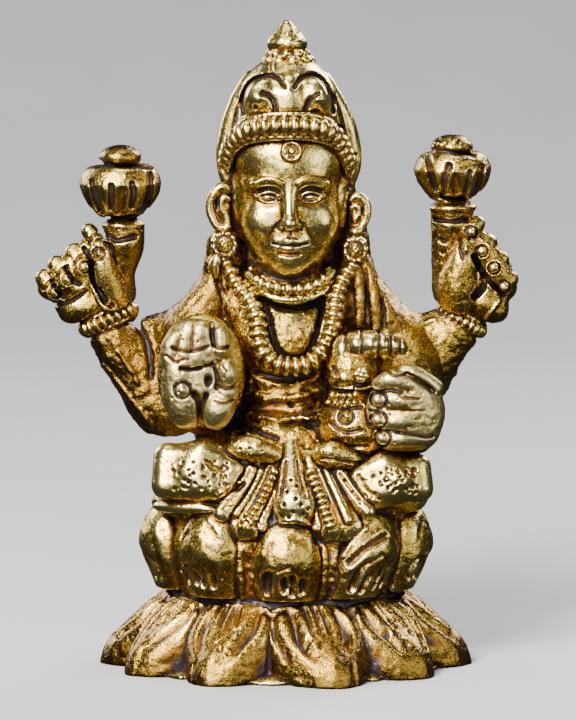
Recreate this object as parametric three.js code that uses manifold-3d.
// Small cast-brass figurine of a seated four-armed goddess on a two-tier lotus.
// Every sculpted element is a solid of its own: lotus tiers and petals, legs, torso,
// arms, hands, attributes, head, crown and jewellery. Millimetres, +Z up, front = -Y.
// Origin: centre of the footprint, on the resting plane.
import * as THREE from "three";
import { mergeVertices } from "three/addons/utils/BufferGeometryUtils.js";
import Module from "manifold-3d";

const wasm = await Module();
wasm.setup();

// ---------------------------------------------------------------- driving dimensions
const CLEARANCE = 0.25; // gap left between neighbouring solids
const ELEVATION_DEG = 6; // the front elevation is drawn from slightly above
const DRAW_DISTANCE = 420; // and in mild perspective, from this far away
const DRAW_CENTRE = [0.2, 30.4]; // x, z of the drawing's centre in the plane y = 0
const SHEET_HALF = [28.8, 36.0]; // half width and half height of the drawing sheet

const BASE_HEIGHT = 7.7; // lower lotus tier
const BASE_DEPTH_RATIO = 0.9; // the tiers are a little shallower than wide
const SKIRT_FOOT_RADIUS = 14.6;
const SKIRT_TOP_RADIUS = 11.0;
const LOWER_PETAL_ANGLES = [-86, -57, -24, 13, 48, 83, 115, 146, 178, 210, 242]; // degrees from the front
const LOWER_PETAL_TIP_RADIUS = 18.0;
const LOWER_PETAL_HALF_WIDTH = 4.7;

const CORE_BOTTOM = 7.95; // upper lotus tier
const CORE_TOP = 16.4;
const CORE_RADIUS = 11.9;
const UPPER_PETAL_ANGLES = [-77, -36, 1, 38, 73, 109, 144, 180, 215, 250];
const UPPER_PETAL_RADIUS = 12.4;
const UPPER_PETAL_HALF_WIDTH = 3.6;
const UPPER_PETAL_HEIGHT = 8.2;

// ---------------------------------------------------------------- layout helper
const sinE = Math.sin((ELEVATION_DEG * Math.PI) / 180);
const cosE = Math.cos((ELEVATION_DEG * Math.PI) / 180);
// s runs right and t runs down from the sheet's top left corner, y is the depth (front is negative)
function at(s, t, y) {
  const sx = s - SHEET_HALF[0];
  const sy = SHEET_HALF[1] - t;
  const dz =
    (sy * (DRAW_DISTANCE + y * cosE) - DRAW_DISTANCE * y * sinE) /
    (DRAW_DISTANCE * cosE + sy * sinE);
  const depth = DRAW_DISTANCE + y * cosE - dz * sinE;
  return new THREE.Vector3(
    DRAW_CENTRE[0] + (sx * depth) / DRAW_DISTANCE,
    y,
    DRAW_CENTRE[1] + dz,
  );
}

// ---------------------------------------------------------------- solids
function solid(geometry) {
  const g = geometry.index ? geometry.toNonIndexed() : geometry;
  const bare = new THREE.BufferGeometry().setAttribute(
    "position",
    g.getAttribute("position"),
  );
  const merged = mergeVertices(bare, 1e-4);
  const made = new wasm.Manifold(
    new wasm.Mesh({
      numProp: 3,
      vertProperties: new Float32Array(merged.attributes.position.array),
      triVerts: new Uint32Array(merged.index.array),
    }),
  );
  return made;
}

function join(list) {
  return list.reduce((a, b) => a.add(b));
}

// Ellipsoid. turn = [about x, about y, about z] in degrees.
function ball(c, r, g = 0, turn = [0, 0, 0], seg = [10, 7]) {
  const geo = new THREE.SphereGeometry(1, seg[0], seg[1]);
  geo.rotateX(Math.PI / 2);
  geo.scale(r[0] + g, r[1] + g, r[2] + g);
  geo.applyMatrix4(
    new THREE.Matrix4().makeRotationFromEuler(
      new THREE.Euler(...turn.map((d) => (d * Math.PI) / 180)),
    ),
  );
  geo.translate(c.x, c.y, c.z);
  return solid(geo);
}

// Tapered limb with round ends, a turned profile laid from p to q.
function limb(p, rp, q, rq, g = 0, sides = 8) {
  const a = rp + g,
    b = rq + g,
    len = p.distanceTo(q);
  const pts = [];
  for (let i = 0; i <= 2; i++) {
    const k = (i / 2) * (Math.PI / 2);
    pts.push(new THREE.Vector2(i === 0 ? 0 : a * Math.sin(k), -a * Math.cos(k)));
  }
  for (let i = 0; i <= 2; i++) {
    const k = (i / 2) * (Math.PI / 2);
    pts.push(
      new THREE.Vector2(i === 2 ? 0 : b * Math.cos(k), len + b * Math.sin(k)),
    );
  }
  const geo = new THREE.LatheGeometry(pts, sides);
  const way = q.clone().sub(p).normalize();
  geo.applyQuaternion(
    new THREE.Quaternion().setFromUnitVectors(new THREE.Vector3(0, 1, 0), way),
  );
  geo.translate(p.x, p.y, p.z);
  return solid(geo);
}

// Turned solid about +Z, from an outline of [radius, z] pairs that starts and ends on the axis.
function turned(outline, depthRatio, g = 0, sides = 24) {
  const lo = Math.min(...outline.map((p) => p[1])),
    hi = Math.max(...outline.map((p) => p[1]));
  const pts = outline.map(
    ([r, z]) =>
      new THREE.Vector2(
        r === 0 ? 0 : r + g,
        z === lo ? z - g : z === hi ? z + g : z,
      ),
  );
  const geo = new THREE.LatheGeometry(pts, sides);
  geo.rotateX(Math.PI / 2);
  geo.scale(1, depthRatio, 1);
  return solid(geo);
}

// Round bar along a smooth curve.
function bar(points, r, g = 0, steps = 20, sides = 8) {
  const shape = new THREE.Shape();
  for (let i = 0; i < sides; i++) {
    const k = (i / sides) * 2 * Math.PI;
    const x = (r + g) * Math.cos(k),
      y = (r + g) * Math.sin(k);
    if (i === 0) shape.moveTo(x, y);
    else shape.lineTo(x, y);
  }
  shape.closePath();
  return solid(
    new THREE.ExtrudeGeometry(shape, {
      steps,
      bevelEnabled: false,
      extrudePath: new THREE.CatmullRomCurve3(points),
    }),
  );
}

// A sphere's skin pushed into another form: shape(u, v, w) takes a point of the unit sphere.
function formed(shape, seg = [8, 6]) {
  const geo = new THREE.SphereGeometry(1, seg[0], seg[1]);
  geo.rotateX(Math.PI / 2);
  const p = geo.attributes.position;
  for (let i = 0; i < p.count; i++) {
    const v = shape(p.getX(i), p.getY(i), p.getZ(i));
    p.setXYZ(i, v.x, v.y, v.z);
  }
  return solid(geo);
}

// Leaf standing round the axis at an angle from the front. profile(v) gives [radius, z] along its
// length, v from -1 (root) to 1 (tip); its outer face looks away from the axis.
function leaf(angle, profile, halfWidth, halfThick, g) {
  const a = (angle * Math.PI) / 180;
  return formed((u, w, v) => {
    const [r0, z0] = profile(v);
    const [r1, z1] = profile(v + 0.01);
    const t = new THREE.Vector2(r1 - r0, z1 - z0).normalize();
    const side = t.y > 0 ? 1 : -1; // the outer side of a rising leaf, or the upper side of a falling one
    const across = u * (halfWidth(v) + g);
    const thick = -w * side * (halfThick + g);
    const r = r0 + thick * t.y - (across * across) / (2 * r0);
    const z = z0 - thick * t.x;
    const turnedAcross = across * side;
    return new THREE.Vector3(
      r * Math.sin(a) + turnedAcross * Math.cos(a),
      (-r * Math.cos(a) + turnedAcross * Math.sin(a)) * BASE_DEPTH_RATIO,
      z,
    );
  });
}

const floorCut = () => {
  const box = new THREE.BoxGeometry(80, 80, 20);
  box.translate(0, 0, -10);
  return solid(box);
};

// ---------------------------------------------------------------- the pieces, big solids first
const parts = [];
const piece = (name, material, build) => parts.push({ name, material, build });

piece("base_skirt", "brass", (g) =>
  turned(
    [
      [0, 0],
      [SKIRT_FOOT_RADIUS, 0],
      [SKIRT_FOOT_RADIUS - 0.7, 3.0],
      [SKIRT_TOP_RADIUS, BASE_HEIGHT],
      [0, BASE_HEIGHT],
    ],
    BASE_DEPTH_RATIO,
    g,
    28,
  ),
);
piece("lotus_core", "brass", (g) =>
  turned(
    [
      [0, CORE_BOTTOM],
      [CORE_RADIUS - 1.0, CORE_BOTTOM],
      [CORE_RADIUS, 12.0],
      [CORE_RADIUS - 0.8, CORE_TOP],
      [0, CORE_TOP],
    ],
    BASE_DEPTH_RATIO,
    g,
    24,
  ),
);
piece("torso", "brass", (g) =>
  join([
    ball(new THREE.Vector3(0.1, 2.2, 20.6), [9.2, 6.6, 4.8], g),
    limb(new THREE.Vector3(0.1, 1.6, 22), 4.6, at(28.7, 33.5, 1.2), 5.1, g, 10),
    ball(at(29.0, 29.6, 1.9), [7.4, 3.6, 3.2], g),
  ]),
);
piece("head", "brass", (g) =>
  join([
    limb(at(29.0, 18.4, 0.0), 5.25, at(29.1, 23.05, -0.8), 4.5, g, 14), // 10.5 wide; length from a 2:3 canon
    limb(at(29, 25, 0.4), 2.9, at(29, 29.0, 1.0), 3.3, g, 10),
  ]),
);
piece("hair_mantle", "brass", (g) =>
  join([
    ball(at(28.9, 20.5, 3.4), [6.8, 4.0, 6.4], g),
    limb(at(22.8, 24.5, 3.6), 2.4, at(19.4, 30.4, 3.4), 2.7, g),
    limb(at(35.6, 24.5, 3.6), 2.2, at(38.8, 30.4, 3.4), 2.5, g),
    ball(at(29.0, 28.5, 4.9), [8.6, 2.9, 5.4], g),
  ]),
);
piece("right_leg", "brass", (g) =>
  join([
    ball(at(19.9, 47.8, -4.9), [4.6, 5.6, 3.0], g, [0, 0, -12]),
    ball(at(21.4, 47.5, -5.6), [3.3, 4.9, 2.7], g, [0, 0, -30]),
    limb(at(17.5, 50.0, -5.0), 1.6, at(25.5, 51.0, -8.3), 1.4, g),
  ]),
);
piece("left_leg", "brass", (g) =>
  join([
    ball(at(39.2, 48.6, -4.9), [4.3, 5.6, 2.8], g, [0, 0, 12]),
    ball(at(37.6, 48.3, -5.6), [3.2, 4.9, 2.6], g, [0, 0, 30]),
    limb(at(41.0, 50.8, -5.0), 1.6, at(33.0, 51.8, -8.3), 1.4, g),
  ]),
);
// back pair of arms, raised
piece("right_back_arm", "brass", (g) =>
  join([
    limb(at(20.6, 30.0, 2.6), 2.6, at(17.6, 40.0, 2.2), 2.9, g),
    limb(at(16.2, 40.6, 2.0), 2.9, at(11.4, 34.0, 1.4), 2.45, g),
  ]),
);
piece("left_back_arm", "brass", (g) =>
  join([
    limb(at(37.4, 29.6, 2.6), 2.6, at(41.6, 36.4, 2.0), 2.7, g),
    limb(at(42.6, 36.2, 2.0), 2.6, at(45.2, 34.4, 1.4), 2.5, g),
  ]),
);
piece("right_back_hand", "brass", (g) =>
  join([
    limb(at(9.0, 30.2, 1.2), 2.3, at(10.6, 25.6, 0.9), 1.2, g),
    limb(at(7.6, 30.2, 0.9), 2.0, at(5.6, 28.2, 0.4), 1.4, g),
    limb(at(5.4, 28.4, -0.4), 1.3, at(8.4, 25.4, -0.6), 1.1, g),
  ]),
);
piece("left_back_hand", "brass", (g) =>
  join([
    limb(at(47.3, 29.6, 1.2), 2.3, at(46.6, 24.8, 0.9), 1.2, g),
    limb(at(48.6, 29.6, 0.9), 1.9, at(49.9, 28.2, 0.4), 1.3, g),
    limb(at(50.2, 28.2, -0.4), 1.2, at(47.8, 24.2, -0.6), 1.0, g),
  ]),
);
piece("right_lotus_bud", "brass", (g) =>
  join([
    limb(at(11.9, 20.6, 1.2), 2.7, at(11.8, 17.9, 1.2), 3.9, g, 10),
    ball(at(11.6, 16.5, 1.2), [2.4, 2.4, 1.8], g),
    limb(at(12.4, 22.4, 1.2), 2.0, at(12.5, 29.4, 1.5), 1.2, g),
  ]),
);
piece("left_lotus_bud", "brass", (g) =>
  join([
    limb(at(45.2, 18.8, 1.2), 2.5, at(44.9, 16.9, 1.2), 3.7, g, 10),
    ball(at(45.1, 15.4, 1.2), [2.3, 2.3, 1.6], g),
    limb(at(45.2, 20.8, 1.2), 2.0, at(45.1, 29.0, 1.5), 1.5, g),
  ]),
);
piece("right_bangle", "brass", (g) =>
  limb(at(8.9, 33.3, 1.2), 1.55, at(12.6, 31.2, 1.4), 1.45, g),
);
piece("left_bangle", "brass", (g) =>
  limb(at(44.8, 30.8, 1.4), 1.35, at(47.9, 33.0, 1.2), 1.4, g),
);
// front pair of arms and hands
piece("right_front_arm", "brass", (g) =>
  limb(at(20.4, 38.4, 1.0), 3.5, at(20.2, 38.0, -6.0), 3.4, g, 12),
);
piece("left_front_arm", "brass", (g) =>
  limb(at(39.6, 39.8, 1.0), 3.3, at(40.4, 40.6, -6.0), 3.4, g, 12),
);
piece("right_front_hand", "brass", (g) =>
  ball(at(19.9, 37.2, -9.2), [3.8, 2.0, 5.8], g, [0, 0, 0], [12, 9]),
);
piece("left_front_hand", "brass", (g) =>
  join([
    ball(at(40.3, 41.1, -8.8), [3.9, 2.2, 3.6], g, [0, 0, 0], [12, 8]),
    limb(at(40.6, 38.2, -8.2), 1.2, at(42.8, 39.2, -7.6), 1.2, g),
  ]),
);
piece("pot_body", "brass", (g) =>
  join([
    ball(at(36.4, 41.4, -6.6), [3.9, 3.3, 3.9], g, [0, 0, 0], [12, 8]),
    limb(at(36.2, 37.4, -6.6), 2.0, at(36.4, 39.4, -6.6), 2.4, g),
  ]),
);
piece("pot_rim", "brass", (g) =>
  limb(at(35.1, 34.2, -6.8), 1.15, at(39.7, 34.3, -6.8), 1.05, g, 10),
);
// headdress
piece("crown_dome", "brass", (g) =>
  join([
    ball(at(28.7, 13.2, 0.9), [6.6, 5.7, 4.7], g, [0, 0, 0], [14, 9]),
    ball(at(28.6, 9.9, 0.0), [4.7, 4.5, 4.3], g, [0, 0, 0], [12, 8]),
  ]),
);
piece("crown_collar", "brass", (g) => {
  const c = at(28.6, 5.2, 0.1);
  const geo = turned(
    [
      [0, -1.2],
      [2.6, -1.2],
      [2.2, -0.3],
      [1.5, 0.9],
      [0, 0.9],
    ],
    1,
    g,
    14,
  );
  return geo.translate([c.x, c.y, c.z]);
});
piece("crown_finial", "brass", (g) => {
  const c = at(28.65, 4.7, 0.1);
  const geo = turned(
    [
      [0, 0],
      [1.5, 0],
      [1.95, 0.45],
      [1.6, 1.15],
      [0.8, 2.1],
      [0, 2.65],
    ],
    1,
    g,
    12,
  );
  return geo.translate([c.x, c.y, c.z]);
});
piece("crown_band", "brass", (g) =>
  bar(
    [
      at(22.9, 16.6, -1.4),
      at(23.8, 14.2, -3.2),
      at(25.6, 12.9, -4.5),
      at(28.8, 12.4, -5.1),
      at(32.2, 12.9, -4.5),
      at(33.8, 14.2, -3.2),
      at(34.8, 16.6, -1.4),
    ],
    0.75,
    g,
    12,
    6,
  ),
);
piece("forehead_mark", "brass", (g) =>
  ball(at(29.1, 15.1, -5.2), [0.95, 0.6, 0.95], g, [0, 0, 0], [10, 7]),
);
piece("right_ear", "brass", (g) =>
  ball(at(22.2, 20.8, -0.6), [1.2, 1.6, 2.3], g, [0, 0, 0], [10, 7]),
);
piece("left_ear", "brass", (g) =>
  ball(at(35.9, 21.3, -0.6), [1.15, 1.6, 2.0], g, [0, 0, 0], [10, 7]),
);
piece("right_earring", "brass", (g) =>
  ball(at(22.4, 24.5, -2.4), [1.4, 0.85, 1.4], g, [0, 0, 0], [12, 7]),
);
piece("left_earring", "brass", (g) =>
  ball(at(35.6, 24.9, -2.4), [1.3, 0.85, 1.55], g, [0, 0, 0], [12, 7]),
);
// jewellery and dress
piece("chest_panel", "brass", (g) =>
  ball(at(29.3, 32.6, -3.6), [2.5, 1.5, 2.6], g, [-8, 0, 0], [12, 8]),
);
piece("choker", "brass", (g) =>
  bar(
    [
      at(25.3, 27.4, -2.2),
      at(26.6, 28.7, -3.7),
      at(29.0, 29.3, -4.4),
      at(31.4, 28.8, -3.7),
      at(32.8, 27.4, -2.2),
    ],
    0.72,
    g,
    8,
    6,
  ),
);
piece("garland", "brass", (g) =>
  bar(
    [
      at(23.0, 27.2, -2.6),
      at(24.1, 29.3, -3.6),
      at(25.4, 31.2, -4.6),
      at(25.9, 34.0, -5.0),
      at(27.0, 36.0, -5.2),
      at(29.2, 36.9, -5.4),
      at(31.5, 36.2, -5.2),
      at(33.0, 34.0, -5.0),
      at(33.5, 31.0, -4.6),
      at(34.0, 29.0, -3.6),
      at(35.0, 27.0, -2.6),
    ],
    0.82,
    g,
    18,
    6,
  ),
);
piece("right_sash", "brass", (g) =>
  limb(at(20.9, 45.5, -5.6), 0.95, at(27.0, 45.2, -5.4), 1.1, g),
);
piece("left_sash", "brass", (g) =>
  limb(at(32.4, 45.4, -5.4), 0.85, at(37.9, 46.7, -5.8), 0.8, g),
);
piece("centre_pleat", "brass", (g) =>
  limb(at(28.9, 47.0, -7.4), 0.9, at(29.3, 51.8, -10.2), 1.7, g),
);
piece("right_beaded_pleat", "brass", (g) =>
  limb(at(27.2, 47.4, -7.3), 0.75, at(24.9, 52.6, -9.6), 1.15, g),
);
piece("left_beaded_pleat", "brass", (g) =>
  limb(at(30.6, 47.4, -7.3), 0.75, at(32.6, 52.8, -9.6), 1.1, g),
);
// lotus petals
UPPER_PETAL_ANGLES.forEach((angle, i) =>
  piece("upper_petal_" + String(i + 1).padStart(2, "0"), "brass", (g) =>
    leaf(
      angle,
      (v) => [
        UPPER_PETAL_RADIUS + 0.9 * Math.cos(((v - 0.25) * Math.PI) / 2.6),
        CORE_BOTTOM + 0.15 + (UPPER_PETAL_HEIGHT * (v + 1)) / 2,
      ],
      (v) => UPPER_PETAL_HALF_WIDTH * (1 - 0.1 * v),
      1.05,
      g,
    ),
  ),
);
LOWER_PETAL_ANGLES.forEach((angle, i) =>
  piece("lower_petal_" + String(i + 1).padStart(2, "0"), "brass", (g) =>
    leaf(
      angle,
      (v) => {
        const k = Math.max(0, (v + 1) / 2);
        return [
          SKIRT_TOP_RADIUS + 0.2 + (LOWER_PETAL_TIP_RADIUS - SKIRT_TOP_RADIUS - 0.2) * k,
          BASE_HEIGHT - 1.1 - (BASE_HEIGHT - 1.6) * Math.pow(k, 1.35),
        ];
      },
      (v) => LOWER_PETAL_HALF_WIDTH * (1 + 0.06 * v),
      1.5,
      g,
    ).subtract(floorCut()),
  ),
);

// ---------------------------------------------------------------- cut each piece clear of those before it
const COLOURS = { brass: 0xb08d3e };
const group = new THREE.Group();
const made = [];
const touches = (a, b) =>
  [0, 1, 2].every((k) => a.min[k] <= b.max[k] && b.min[k] <= a.max[k]);
for (const p of parts) {
  let body = p.build(0);
  for (const q of made) {
    if (!touches(body.boundingBox(), q.grown.boundingBox())) continue;
    body = body.subtract(q.grown);
  }
  body = body
    .decompose()
    .reduce((a, b) => (a.volume() >= b.volume() ? a : b));
  made.push({ grown: p.build(CLEARANCE) });
  const mesh = body.getMesh();
  const n = mesh.numProp;
  const v = new Float32Array(mesh.numVert * 3);
  for (let i = 0; i < mesh.numVert; i++)
    v.set(mesh.vertProperties.subarray(i * n, i * n + 3), i * 3);
  const geometry = new THREE.BufferGeometry();
  geometry.setAttribute("position", new THREE.BufferAttribute(v, 3));
  geometry.setIndex(new THREE.BufferAttribute(new Uint32Array(mesh.triVerts), 1));
  geometry.computeVertexNormals();
  const node = new THREE.Mesh(
    geometry,
    new THREE.MeshStandardMaterial({
      color: COLOURS[p.material],
      roughness: 0.38,
      metalness: 1.0,
    }),
  );
  node.name = p.name;
  group.add(node);
}

export default group;
